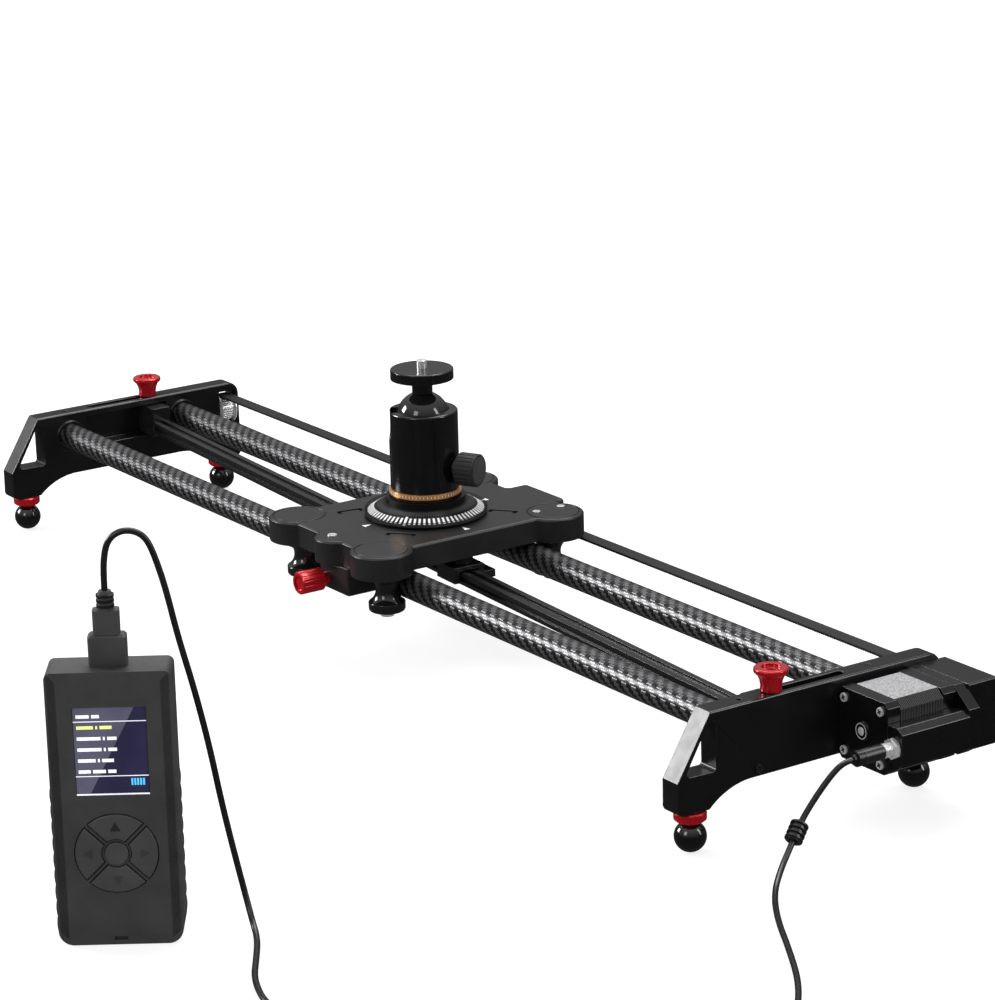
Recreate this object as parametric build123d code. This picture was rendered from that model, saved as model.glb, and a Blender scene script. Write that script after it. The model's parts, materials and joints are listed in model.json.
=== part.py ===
from build123d import *
import math
import os

# Motorised camera slider with a panning ball head and a wired handset.
# Millimetres. X runs along the rails, +X towards the motor. +Y is the belt side.
# Z is up, and the origin is the centre of the four feet on the surface they stand on.

# Rail frame
plate_x = 390.0            # middle of each end plate
plate_thick = 14.0
plate_top = 81.0
plate_bottom = 36.0
leg_bottom = 24.5
plate_front = -94.0
plate_back = 94.0
foot_y = 80.4
foot_r = 9.2
stud_r = 3.0
tube_r = 8.8
tube_wall = 1.5
tube_y = 46.0
tube_z = 64.0
tube_seat = 8.0            # how deep a tube sits in its plate

# Guide bar, set across the frame so that the turntable pans as the carriage moves
bar_far_y = 22.0
bar_near_y = -23.5
bar_end_x = 380.0
bar_wide = 12.0
bar_low = 57.5
bar_high = 65.5

# Belt drive
belt_y = 84.0
belt_wide = 9.5
belt_thick = 1.4
belt_top = 72.0
idler_wrap = 11.0          # outer radius of the belt round the idler
drive_wrap = 16.0          # and round the drive pulley
motor_x = 418.3
motor_side = 42.3
motor_rear = 18.5
flange_y = 68.0
housing_y = 76.0
housing_back = 96.8

# Carriage and turntable
carriage_x = 10.0
carriage_low = 74.5
carriage_high = 90.0
lobe_x = 48.0
lobe_y = 65.0
lobe_r = 19.5
roller_y = 62.0
roller_low = 50.0
roller_high = 74.0
flange_r = 11.5
front_boss = (6.0, -71.0)
front_boss_r = 14.0
front_screw = (5.0, -73.5)
arm_reach = 44.0           # turntable axis to follower pivot

# Ball head
head_low = 108.0
head_high = 158.5
head_r = 22.0
ball_r = 17.0
ball_z = 153.0
knob_way = 28.0            # direction of the ball lock knob, degrees from +X
notch_way = 240.0          # direction of the drop notch
platform_low = 176.0
platform_high = 185.0
camera_stud_r = 3.175      # 1/4 inch camera thread

# Handset, standing on its end in front of the rails
handset_x = 300.0
handset_y = -385.0
handset_turn = 55.86
handset_wide = 66.0
handset_tall = 150.0
handset_deep = 25.0
key_centre_z = 51.0

cord_d = 3.4
run_gap = 0.05             # radial clearance of a shaft in its bore
free_gap = 0.35            # gap between pieces that move past each other

os.makedirs("parts", exist_ok=True)

motor_z = belt_top - drive_wrap
idler_z = belt_top - idler_wrap
plate_in = plate_x - plate_thick / 2
plate_out = plate_x + plate_thick / 2


def save(name, *solids):
    """Write one node: a single solid, or a group of separate ones."""
    flat = [s for item in solids for s in item.solids()]
    export_step(Compound(children=flat) if len(flat) > 1 else flat[0], f"parts/{name}.step")


def block(x0, x1, y0, y1, z0, z1):
    size = (abs(x1 - x0), abs(y1 - y0), abs(z1 - z0))
    return Pos((x0 + x1) / 2, (y0 + y1) / 2, (z0 + z1) / 2) * Box(*size)


def post(x, y, z0, z1, radius):
    """Upright cylinder."""
    return Pos(x, y, (z0 + z1) / 2) * Cylinder(radius, z1 - z0)


def rod_y(x, z, y0, y1, radius):
    """Cylinder along Y."""
    return Pos(x, (y0 + y1) / 2, z) * Rot(90, 0, 0) * Cylinder(radius, y1 - y0)


def rod_x(y, z, x0, x1, radius):
    """Cylinder along X."""
    return Pos((x0 + x1) / 2, y, z) * Rot(0, 90, 0) * Cylinder(radius, x1 - x0)


def turned(points):
    """Solid of revolution about Z from (radius, height) corners."""
    outline = Plane.XZ * make_face(Polyline(*points, close=True))
    return revolve(outline, Axis.Z)


def rounded(solid, radius, axis=Axis.Z):
    return fillet(solid.edges().filter_by(axis), radius)


def socket_screw(radius, length, head_r, head_h):
    """Cap screw with its head on z = 0 and its shank pointing down."""
    screw = post(0, 0, 0, head_h, head_r) + post(0, 0, -length, 0, radius)
    return screw - Pos(0, 0, head_h) * extrude(RegularPolygon(head_r * 0.5, 6), -head_h * 0.6)


def bar_y(x):
    """Middle of the guide bar at a place along the rails."""
    return bar_far_y + (bar_near_y - bar_far_y) * (x + bar_end_x) / (2 * bar_end_x)


bar_angle = math.degrees(math.atan2(bar_near_y - bar_far_y, 2 * bar_end_x))


# End plates

def plate_outline():
    """Side view of an end plate, as a face in YZ."""
    crest, shoulder = -71.0, 44.0
    inner_leg, arch_y, arch_end = 72.0, 60.0, 41.0
    sole, corner = 90.0, 9.0
    lines = [
        Line((arch_end, plate_bottom), (-arch_end, plate_bottom)),
        ThreePointArc((-arch_end, plate_bottom), (-arch_y, 32.3), (-inner_leg, leg_bottom)),
        Line((-inner_leg, leg_bottom), (-sole, leg_bottom)),
        ThreePointArc((-sole, leg_bottom), (-93.0, 26.0), (plate_front, 30.0)),
        Line((plate_front, 30.0), (plate_front, shoulder)),
        Line((plate_front, shoulder), (crest, plate_top)),
        Line((crest, plate_top), (plate_back - corner, plate_top)),
        RadiusArc((plate_back - corner, plate_top), (plate_back, plate_top - corner), corner),
        Line((plate_back, plate_top - corner), (plate_back, 30.0)),
        ThreePointArc((plate_back, 30.0), (93.0, 26.0), (sole, leg_bottom)),
        Line((sole, leg_bottom), (inner_leg, leg_bottom)),
        ThreePointArc((inner_leg, leg_bottom), (arch_y, 32.3), (arch_end, plate_bottom)),
    ]
    return Plane.YZ * make_face(lines)


def end_plate(side):
    """One end plate: side is -1 for the far end and +1 for the motor end."""
    plate = Pos(side * plate_x - plate_thick / 2, 0, 0) * extrude(plate_outline(), plate_thick)
    long_edges = plate.edges().filter_by(Axis.Y).group_by(Axis.Z)[-1]
    plate = chamfer(long_edges, 0.8)

    window = make_face(Polyline((-72.6, 74.5), (-67.6, 74.5), (-67.3, 46.0), (-88.8, 46.5), close=True))
    window = Plane.YZ * fillet(window.vertices(), 2.0)
    plate -= Pos(side * plate_x - plate_thick, 0, 0) * extrude(window, 2 * plate_thick)

    inner = side * plate_in
    for y in (-tube_y, tube_y):
        boss_face = inner - side * 1.2
        plate += rod_x(y, tube_z, min(inner, boss_face), max(inner, boss_face), 11.0)
        seat = side * (plate_in + tube_seat)
        plate -= rod_x(y, tube_z, min(boss_face, seat), max(boss_face, seat), tube_r)
        plate -= post(side * plate_x, y, tube_z + tube_r - 1, plate_top, 1.5)

    # slot on top for the clamp knob, and the pocket below it that holds the bar's end block
    slot = block(side * plate_x - 3, side * plate_x + 3, -27.5, 27.5, 70, 82)
    plate -= rounded(slot, 2.9)
    plate -= block(inner - side * 1, inner + side * 11, -32.5, 32.5, 54, 76)

    # opening for the belt, and the holes for feet and screws
    low = 47.5 if side < 0 else 38.5
    plate -= block(side * plate_x - 10, side * plate_x + 10, 77.4, 90.6, low, 75.0)
    for y in (-foot_y, foot_y):
        plate -= post(side * plate_x, y, leg_bottom, leg_bottom + 12.0, stud_r + run_gap)
    face_hole = sorted((side * plate_x, side * (plate_out + 1)))
    plate -= rod_x(-38, 40.5, face_hole[0], face_hole[1], 1.5)
    return plate


far_plate = end_plate(-1)
near_plate = end_plate(1)
far_plate -= rod_y(-plate_x, idler_z, 66.0, plate_back + 1, 2.5)
tripod_hole_r = 3.175      # 1/4 inch tripod thread in the underside of each plate
tripod_hole_deep = 10.0
far_plate -= post(-plate_x, 0, plate_bottom, plate_bottom + tripod_hole_deep, tripod_hole_r)
near_plate -= post(plate_x, 0, plate_bottom, plate_bottom + tripod_hole_deep, tripod_hole_r)
save("far_end_plate", far_plate)
save("near_end_plate", near_plate)

tube_end = plate_in + tube_seat
for name, y in (("front_tube", -tube_y), ("rear_tube", tube_y)):
    tube = rod_x(y, tube_z, -tube_end, tube_end, tube_r)
    tube -= rod_x(y, tube_z, -tube_end, tube_end, tube_r - tube_wall)
    save(name, tube)

# Set screws that clamp the tubes, the small screws on the outer faces, and those of the motor
# and its housing
frame_screws = []
for side in (-1, 1):
    for y in (-tube_y, tube_y):
        grub = post(side * plate_x, y, tube_z + tube_r + 0.3, plate_top - 1.0, 1.5)
        frame_screws.append(grub)
    turn = Rot(0, 90 * side, 0)
    screw = turn * socket_screw(1.5, 6.0, 2.7, 1.2)
    frame_screws.append(Pos(side * plate_out, -38, 40.5) * screw)


# Guide bar: a bar grooved on top and on both sides, with a square block at each end

block_half = 7.0
block_in = 370.5
block_out = 393.5


def guide_bar():
    half_long = block_in / math.cos(math.radians(bar_angle)) + 2
    middle = (bar_low + bar_high) / 2
    bar = Pos(0, 0, middle) * Box(2 * half_long, bar_wide, bar_high - bar_low)
    bar -= Pos(0, 0, bar_high) * Box(2 * half_long, 4.0, 4.0)
    for side in (-1, 1):
        bar -= Pos(0, side * bar_wide / 2, middle) * Box(2 * half_long, 3.0, 2.4)
    bar = Pos(0, bar_y(0), 0) * Rot(0, 0, bar_angle) * bar
    for side in (-1, 1):
        bar -= block(side * block_in, side * (block_in + 20), -60, 60, 40, 80)
    return bar


def bar_block(side):
    y = bar_y(side * bar_end_x)
    body = block(side * block_in, side * block_out, y - block_half, y + block_half, 55.0, 75.5)
    body = rounded(body, 1.0)
    body -= post(side * plate_x, y, 60.0, 76.0, 2.5 + run_gap)
    return body


save("guide_bar", guide_bar(), bar_block(-1), bar_block(1))


def flared_knob(x, y):
    """Red clamp knob: a fluted trumpet with a recess on top and a stud down into the bar's block."""
    low, high = plate_top + free_gap, 95.0
    body = turned([(0, low), (6.3, low), (6.1, 84.5), (6.6, 87.5), (7.8, 90.3), (9.9, 92.4),
                   (9.9, high - 0.7), (9.2, high), (0, high)])
    body -= post(0, 0, high - 1.6, high, 5.6)
    body -= post(0, 0, high - 3.6, high, 2.4)
    grip_ribs = 12
    for i in range(grip_ribs):
        body -= Rot(0, 0, i * 360 / grip_ribs) * post(8.4, 0, low + 1, 90.0, 1.5)
    body += post(0, 0, 62.0, low + 1, 2.5)
    return Pos(x, y, 0) * body


save("far_bar_knob", flared_knob(-plate_x, bar_y(-bar_end_x)))
save("near_bar_knob", flared_knob(plate_x, bar_y(bar_end_x)))


# Feet: a ball on a threaded stud, with a red lock ring between it and the leg

def foot(x, y):
    ball = Pos(0, 0, foot_r) * Sphere(foot_r)
    stud = post(0, 0, foot_r, leg_bottom + 11.0, stud_r)
    return Pos(x, y, 0) * (ball + stud)


def lock_ring(x, y):
    low, high = 2 * foot_r, leg_bottom - 0.3
    ring = turned([(stud_r + run_gap, low), (8.0, low), (9.3, low + 1.2), (9.3, high - 0.8),
                   (8.5, high), (stud_r + run_gap, high)])
    notches = 18
    for i in range(notches):
        ring -= Rot(0, 0, i * 360 / notches) * post(9.9, 0, low - 1, high + 1, 0.9)
    return Pos(x, y, 0) * ring


corners = {"front_far": (-1, -1), "front_near": (1, -1), "rear_far": (-1, 1), "rear_near": (1, 1)}
for corner, (side, face) in corners.items():
    save(f"foot_{corner}", foot(side * plate_x, face * foot_y))
    save(f"lock_ring_{corner}", lock_ring(side * plate_x, face * foot_y))


# Belt, its pulleys and the idler axle

def belt_loop(grow):
    """The belt's side view as a face in XZ: both pulleys and the band between them."""
    far_r, near_r = idler_wrap + grow, drive_wrap + grow
    span = motor_x + plate_x
    drop = math.atan2(motor_z - idler_z, span)
    lean = math.asin((drive_wrap - idler_wrap) / math.hypot(span, motor_z - idler_z))
    low_way = drop - lean - math.pi / 2
    far_low = (-plate_x + far_r * math.cos(low_way), idler_z + far_r * math.sin(low_way))
    near_low = (motor_x + near_r * math.cos(low_way), motor_z + near_r * math.sin(low_way))
    far_top, near_top = (-plate_x, idler_z + far_r), (motor_x, motor_z + near_r)
    lines = [
        Line(far_top, near_top),
        ThreePointArc(near_top, (motor_x + near_r, motor_z), near_low),
        Line(near_low, far_low),
        ThreePointArc(far_low, (-plate_x - far_r, idler_z), far_top),
    ]
    return make_face(lines)


belt = extrude(Plane.XZ * (belt_loop(0) - belt_loop(-belt_thick)), belt_wide / 2, both=True)
save("drive_belt", Pos(0, belt_y, 0) * belt)


def toothed_wheel(x, z, tip_r, teeth, bore_r):
    wheel = rod_y(x, z, belt_y - 5.0, belt_y + 5.0, tip_r)
    for side in (-1, 1):
        rim = sorted((belt_y + side * 5.0, belt_y + side * 6.0))
        wheel += rod_y(x, z, rim[0], rim[1], tip_r + 1.9)
    for i in range(teeth):
        angle = 2 * math.pi * i / teeth
        groove = rod_y(x + tip_r * math.cos(angle), z + tip_r * math.sin(angle),
                       belt_y - 5.0, belt_y + 5.0, 0.55)
        wheel -= groove
    return wheel - rod_y(x, z, belt_y - 8, belt_y + 8, bore_r)


idler_tip = idler_wrap - belt_thick - free_gap
drive_tip = drive_wrap - belt_thick - free_gap
save("idler_pulley", toothed_wheel(-plate_x, idler_z, idler_tip, 30, 2.5 + run_gap))
save("idler_axle", rod_y(-plate_x, idler_z, 67.0, plate_back, 2.5))
save("drive_pulley", toothed_wheel(motor_x, motor_z, drive_tip, 44, 2.5))


# Motor, its flange, the pulley housing and the control box

def motor_slice(y0, y1, cut):
    half = motor_side / 2
    body = block(motor_x - half, motor_x + half, y0, y1, motor_z - half, motor_z + half)
    return chamfer(body.edges().filter_by(Axis.Y), cut)


cap_deep = 9.0
core_y0 = motor_rear + cap_deep
core_y1 = flange_y - cap_deep
screw_span = 31.0
rotor_r = 12.5

rear_cap = motor_slice(motor_rear, core_y0, 3.0)
rear_cap -= rod_y(motor_x, motor_z, motor_rear + 2.5, core_y0, 15.0)
rear_cap += rod_y(motor_x, motor_z, motor_rear - 1.2, motor_rear, 5.5)
for dx in (-0.5, 0.5):
    for dz in (-0.5, 0.5):
        screw_x, screw_z = motor_x + dx * screw_span, motor_z + dz * screw_span
        rear_cap -= rod_y(screw_x, screw_z, motor_rear, motor_rear + 5.0, 1.5)
        screw = Rot(90, 0, 0) * socket_screw(1.5, 5.0, 2.6, 1.4)
        frame_screws.append(Pos(screw_x, motor_rear, screw_z) * screw)
front_cap = motor_slice(core_y1, flange_y, 3.0)
front_cap -= rod_y(motor_x, motor_z, core_y1, flange_y - 2.5, 15.0)
front_cap -= rod_y(motor_x, motor_z, flange_y - 3, flange_y + 1, 2.5 + run_gap)
save("motor_end_caps", rear_cap, front_cap)

core = motor_slice(core_y0, core_y1, 5.0)
core -= rod_y(motor_x, motor_z, core_y0, core_y1, rotor_r + free_gap)
save("motor_core", core)

rotor = rod_y(motor_x, motor_z, core_y0 + 1, core_y1 - 1, rotor_r)
rotor += rod_y(motor_x, motor_z, motor_rear + 3.5, 93.0, 2.5)
save("motor_rotor", rotor)

flange_right = 450.5
flange_lines = Polyline((plate_out, 37.0), (plate_out, 77.0), (437.0, 77.0), (flange_right, 66.0),
                        (flange_right, 43.0), (441.0, 37.0), close=True)
flange = extrude(Plane.XZ * make_face(flange_lines), housing_y - flange_y)
flange = Pos(0, housing_y, 0) * flange
flange -= rod_y(motor_x, motor_z, flange_y - 1, housing_y + 1, 11.0)
flange -= rod_y(445.0, 53.0, flange_y - 1, housing_y + 1, 3.0)
bracket_low, bracket_screw = 31.8, (421.0, 30.0)
motor_low = motor_z - motor_side / 2
flange += block(412.0, 430.0, 24.0, housing_y, bracket_low, motor_low)
flange += block(412.0, 430.0, flange_y, housing_y, bracket_low, 38.0)
flange -= post(*bracket_screw, bracket_low, motor_low, 1.5)
save("motor_flange", flange)
screw = Rot(180, 0, 0) * socket_screw(1.5, motor_low - bracket_low, 2.6, 1.0)
frame_screws.append(Pos(*bracket_screw, bracket_low) * screw)

wall = 2.2
housing = block(plate_out, 441.0, housing_y, housing_back, 37.0, 77.0)
housing = fillet(housing.edges().filter_by(Axis.Y).group_by(Axis.X)[-1], 1.5)
housing -= block(plate_out - 1, 441.0 - wall, housing_y - 1, housing_back - wall, 37 + 1.6, 77 - wall)
save("pulley_housing", housing)


box_left, box_right, box_low, box_high = 439.5, 451.8, 43.5, 65.5


def control_case(inset):
    lines = Polyline((box_left + inset, box_low + inset), (box_left + inset, box_high - inset),
                     (box_right - 4.5 - inset / 2, box_high - inset),
                     (box_right - inset, box_high - 3.0 - inset / 2),
                     (box_right - inset, box_low + inset), close=True)
    deep = flange_y - motor_rear - 2 * inset
    return Pos(0, flange_y - inset, 0) * extrude(Plane.XZ * make_face(lines), deep)


socket_x, socket_z = 444.9, 53.5
box_wall = 1.6
control_box = control_case(0) - control_case(box_wall)
control_box -= rod_y(socket_x, socket_z, motor_rear - 1, motor_rear + 3, 3.8)
save("control_box", control_box)

barrel = rod_y(socket_x, socket_z, 9.5, motor_rear + 6.0, 3.8) + \
    rod_y(socket_x, socket_z, motor_rear - 2.2, motor_rear, 5.6)
barrel -= rod_y(socket_x, socket_z, 9.5, motor_rear + 5.0, 3.0)
save("cord_socket", barrel)

# Circuit boards, one in the control box and one in the handset (added below)
box_board = block(446.5, 448.0, motor_rear + 9.0, flange_y - 4.0, 45.5, 61.0)


# Carriage: a flat plate with a round lobe over each roller

def at_carriage(x, y):
    return Pos(carriage_x + x, y, 0)


def carriage_outline():
    side_x, front_y, rear_y = 55.5, -76.0, 72.0
    face = Pos(0, (front_y + rear_y) / 2) * Rectangle(2 * side_x, rear_y - front_y)
    for sx in (-1, 1):
        for sy in (-1, 1):
            face += Pos(sx * lobe_x, sy * lobe_y) * Circle(lobe_r)
    face += Pos(*front_boss) * Circle(front_boss_r)
    face += Pos(8.75, 79.5) * Rectangle(43.5, 15.0)
    return fillet(face.vertices(), 3.0)


def corner_groove(x0, y0, x1, y1):
    """Bracket-shaped groove beside a lobe: a long run and a short one square to it at each end."""
    wide, deep, arm = 2.6, 1.8, 6.0
    long = math.hypot(x1 - x0, y1 - y0)
    groove = Box(long, wide, 2 * deep)
    for end in (-1, 1):
        groove += Pos(end * (long - wide) / 2, -(arm - wide) / 2) * Box(wide, arm, 2 * deep)
    turn = math.degrees(math.atan2(y1 - y0, x1 - x0))
    return Pos((x0 + x1) / 2, (y0 + y1) / 2, carriage_high) * Rot(0, 0, turn) * groove


roller_places = {"front_far": (-1, -1), "front_near": (1, -1), "rear_far": (-1, 1),
                 "rear_near": (1, 1)}
plate_thick_z = carriage_high - carriage_low
carriage = extrude(carriage_outline(), plate_thick_z)
carriage = Pos(0, 0, carriage_low) * carriage
carriage = chamfer(carriage.edges().group_by(Axis.Z)[-1], 1.2)
groove_runs = ((-37, -44, -34, -27), (21.5, -43.5, 35, -30.5), (20, 35, 34.5, 47), (-34, 27, -37, 44))
for groove_run in groove_runs:
    carriage -= corner_groove(*groove_run)
for sx in (-1, 1):
    for sy in (-1, 1):
        ring = post(sx * lobe_x, sy * lobe_y, carriage_high - 0.7, carriage_high, 17.0)
        carriage -= ring - post(sx * lobe_x, sy * lobe_y, carriage_high - 1, carriage_high, 16.2)
        carriage -= post(sx * lobe_x, sy * roller_y, carriage_low, carriage_high - 4.0, 2.5)
spindle_r = 8.0
bearing_r = 13.0
carriage -= post(0, 0, carriage_low - 1, carriage_high + 1, spindle_r + run_gap)
carriage -= post(0, 0, carriage_high - 5.0, carriage_high + 1, bearing_r)
carriage -= post(*front_screw, carriage_low, carriage_high + 1, 1.6)
save("carriage_plate", at_carriage(0, 0) * carriage)

race = post(0, 0, carriage_high - 5.0, carriage_high, bearing_r)
race -= post(0, 0, carriage_high - 6.0, carriage_high + 1, spindle_r + run_gap)
save("turntable_bearing", at_carriage(0, 0) * race)

bolts = []
for sx in (-1, 1):
    for sy in (-1, 1):
        axle = post(sx * lobe_x, sy * roller_y, roller_low - 1, carriage_high - 4.0, 2.5)
        axle += post(sx * lobe_x, sy * roller_y, roller_low - 3.4, roller_low - free_gap, 4.2)
        bolts.append(axle)
bolts.append(Pos(*front_screw, carriage_high) * socket_screw(1.6, 14.0, 3.0, 1.0))
for dy in (-9.5, 9.5):
    bolts.append(post(lobe_x - 5.0, lobe_y + dy, carriage_high, carriage_high + 0.6, 2.6))
save("carriage_bolts", *[at_carriage(0, 0) * bolt for bolt in bolts])


def roller():
    """Grooved roller: its waist follows the tube's curve with a small gap."""
    gap_to_tube = roller_y - tube_y
    groove_r = tube_r + free_gap
    body = post(0, 0, roller_low, roller_high, flange_r)
    groove = revolve(Plane.XZ * Pos(gap_to_tube, tube_z) * Circle(groove_r), Axis.Z)
    body -= groove
    body = fillet(body.edges().group_by(Axis.Z)[0], 2.0)
    body = chamfer(body.edges().group_by(Axis.Z)[-1], 0.6)
    return body - post(0, 0, roller_low - 1, roller_high + 1, 2.5 + run_gap)


for name, (sx, sy) in roller_places.items():
    save(f"roller_{name}", at_carriage(sx * lobe_x, sy * roller_y) * roller())

# Belt clamp under the rear tab: two jaws round the belt's upper run
clamp = rounded(block(-12.0, 27.0, 76.0, 91.0, 65.0, carriage_low), 1.0)
clamp -= block(-13.0, 28.0, belt_y - belt_wide / 2 - free_gap, belt_y + belt_wide / 2 + free_gap,
               belt_top - belt_thick - 1.1, belt_top + free_gap)
save("belt_clamp", at_carriage(0, 0) * clamp)

# Lock block under the front edge, with the knob's screw through it towards the front tube
lock_x = 15.0
lock_z = 64.0
lock = block(lock_x - 9, lock_x + 24, -78.0, -57.0, 57.0, carriage_low)
lock = rounded(lock, 1.5)
lock -= rod_y(lock_x, lock_z, -80.0, -56.0, 2.0 + run_gap)
save("lock_block", lock)


def fluted(radius, low, high, flutes, flute_r):
    """Fluted barrel along Z from low to high, with softened ends."""
    body = post(0, 0, low, high, radius)
    body = chamfer(body.edges().filter_by(GeomType.CIRCLE), 0.7)
    for i in range(flutes):
        body -= Rot(0, 0, i * 360 / flutes) * post(radius + flute_r * 0.55, 0, low + 1.5, high + 1, flute_r)
    return body


red_knob = fluted(7.25, 5.0, 21.5, 16, 0.9) + post(0, 0, 0.4, 6.0, 3.6) + post(0, 0, -20.5, 1.0, 2.0)
red_knob -= post(0, 0, 20.0, 22.0, 4.6)
red_knob += post(0, 0, 19.0, 21.0, 3.4)
save("carriage_lock_knob", Pos(lock_x, -78.0, lock_z) * Rot(90, 0, 0) * red_knob)


# Turntable: graduated dial above the carriage, and the follower arm below it

dial_low = carriage_high + 0.4
dial = turned([(0, dial_low), (38.0, dial_low), (38.7, dial_low + 0.6), (38.7, 92.0), (38.0, 92.4),
               (32.0, 96.2), (31.2, 96.2), (27.2, 97.8), (26.0, 97.8), (25.4, 98.4), (25.4, 102.6),
               (0, 102.6)])
dial -= post(0, 0, dial_low - 1, 101.0, 6.0)
save("turntable_dial", at_carriage(0, 0) * dial)

rest_arm = math.degrees(math.asin(bar_y(carriage_x + arm_reach) / arm_reach))
arm_low, arm_high = 69.3, 73.6
arm = block(0, arm_reach, -8.0, 8.0, arm_low, arm_high) + post(0, 0, arm_low, arm_high, 11.0)
arm += post(arm_reach, 0, arm_low, arm_high, 8.0)
arm += post(0, 0, arm_high, dial_low, spindle_r)
arm += post(0, 0, dial_low, 101.0, 6.0)
arm += post(arm_reach, 0, bar_high + 0.9, arm_low, 3.0)
save("follower_arm", at_carriage(0, 0) * Rot(0, 0, rest_arm) * arm)

# Fork that straddles the guide bar and turns on the arm's pin
fork_room = 0.9            # sideways room between the fork and the bar
fork = block(-11.0, 11.0, -bar_wide / 2 - fork_room - 4, bar_wide / 2 + fork_room + 4, 58.5, arm_low - 0.4)
fork -= block(-12.0, 12.0, -bar_wide / 2 - fork_room, bar_wide / 2 + fork_room, 58.0, bar_high + 0.7)
fork += block(-11.0, 11.0, bar_wide / 2 + fork_room + 2, 19.0, 58.5, 63.5)
fork -= post(0, 0, 60.0, arm_low, 3.0 + run_gap)
pivot_x = carriage_x + arm_reach * math.cos(math.radians(rest_arm))
pivot_y = arm_reach * math.sin(math.radians(rest_arm))
save("follower_fork", Pos(pivot_x, pivot_y, 0) * Rot(0, 0, bar_angle) * fork)


# Ball head: graduated base ring, housing with drop notch, seat, ball, platform and lock knob

def at_head(shape):
    return at_carriage(0, 0) * shape


base_ring = turned([(0, 102.6), (21.5, 102.6), (22.6, 103.6), (22.8, 104.4), (22.8, head_low - free_gap),
                    (0, head_low - free_gap)])
save("head_base_ring", at_head(base_ring))

socket_r = ball_r + free_gap
neck_r = 6.5
house = post(0, 0, head_low, head_high, head_r)
house = fillet(house.edges().group_by(Axis.Z)[-1], 1.6)
house -= Pos(0, 0, ball_z) * Sphere(socket_r)
bore_low = head_low + 6.0
house -= post(0, 0, bore_low, ball_z, 16.2)
notch_floor, notch_half = 139.0, neck_r + 0.6
notch = rod_x(0, notch_floor + notch_half, 8.0, 30.0, notch_half)
notch += block(8.0, 30.0, -notch_half, notch_half, notch_floor + notch_half, head_high + 2)
house -= Rot(0, 0, notch_way) * notch
knob_z = 122.0
house -= Pos(0, 0, knob_z) * Rot(0, 0, knob_way) * rod_x(0, 0, 12.0, 30.0, 3.0 + run_gap)
save("head_housing", at_head(house))

cup = post(0, 0, 128.0, 145.0, 16.1) - Pos(0, 0, ball_z) * Sphere(socket_r)
cup -= post(0, 0, 127.0, 146.0, 9.0)
save("ball_seat", at_head(cup))

ball = Pos(0, 0, ball_z) * Sphere(ball_r)
ball = ball - post(0, 0, ball_z + 15.6, ball_z + 20, 12)
save("ball", at_head(ball))

stud_core_r = 2.6
stem = post(0, 0, ball_z + 15.6 + free_gap, platform_low + 1, neck_r)
disc = turned([(0, platform_low), (12.0, platform_low), (18.0, platform_low + 2.0),
               (20.0, platform_low + 2.4), (20.0, platform_high - 0.6), (19.4, platform_high),
               (0, platform_high)])
disc -= post(0, 0, platform_high - 8, platform_high + 1, stud_core_r)
disc -= post(0, 0, platform_high - 0.3, platform_high + 1, camera_stud_r + 0.15)
platform = stem + disc
save("camera_platform", at_head(platform))
stud = post(0, 0, platform_high, platform_high + 5.5, camera_stud_r)
stud = chamfer(stud.edges().group_by(Axis.Z)[-1], 0.6)
stud += post(0, 0, platform_high - 8, platform_high, stud_core_r)
save("camera_screw", at_head(stud))

head_knob = fluted(10.6, 2.6, 16.0, 22, 0.8) + post(0, 0, -1.0, 3.4, 6.0)
head_knob = head_knob - post(0, 0, -2.0, -0.2, 8.0)
head_knob += post(0, 0, -6.0, 1.0, 3.0)
knob_place = Pos(0, 0, knob_z) * Rot(0, 0, knob_way) * Pos(head_r + 0.8, 0, 0) * Rot(0, 90, 0)
save("head_lock_knob", at_head(knob_place * head_knob))


# Handset: two shells, a screen, a board and five keys. Its own front faces -Y.

def at_handset(shape):
    return Pos(handset_x, handset_y, 0) * Rot(0, 0, handset_turn) * shape


def handset_outline(inset):
    """Front view with shallow scallops down the lower part of each side, as a face in XZ."""
    half, dip, corner, top_corner = handset_wide / 2 - inset, 0.45, 8.0, 3.6
    scallops = 9
    low, high, ripple_top = inset, handset_tall - inset, 88.0
    step = (ripple_top - low - corner) / scallops
    lines = [Line((-half + corner, low), (half - corner, low)),
             RadiusArc((half - corner, low), (half - dip, low + corner), -corner)]
    for i in range(scallops):
        z0 = low + corner + i * step
        lines.append(ThreePointArc((half - dip, z0), (half, z0 + step / 2), (half - dip, z0 + step)))
    side_top, top_end = high - top_corner, half - dip - top_corner
    lines.append(Line((half - dip, ripple_top), (half - dip, side_top)))
    lines.append(RadiusArc((half - dip, side_top), (top_end, high), -top_corner))
    lines.append(Line((top_end, high), (-top_end, high)))
    lines.append(RadiusArc((-top_end, high), (-half + dip, side_top), -top_corner))
    lines.append(Line((-half + dip, side_top), (-half + dip, ripple_top)))
    for i in range(scallops):
        z0 = ripple_top - i * step
        lines.append(ThreePointArc((-half + dip, z0), (-half, z0 - step / 2), (-half + dip, z0 - step)))
    lines.append(RadiusArc((-half + dip, low + corner), (-half + corner, low), -corner))
    return Plane.XZ * make_face(lines)


shell_wall = 2.0
half_deep = handset_deep / 2
front_shell = extrude(handset_outline(0), half_deep)
front_shell -= extrude(handset_outline(shell_wall), half_deep - shell_wall)
back_shell = extrude(handset_outline(0), -half_deep)
back_shell -= extrude(handset_outline(shell_wall), -(half_deep - shell_wall))

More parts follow.
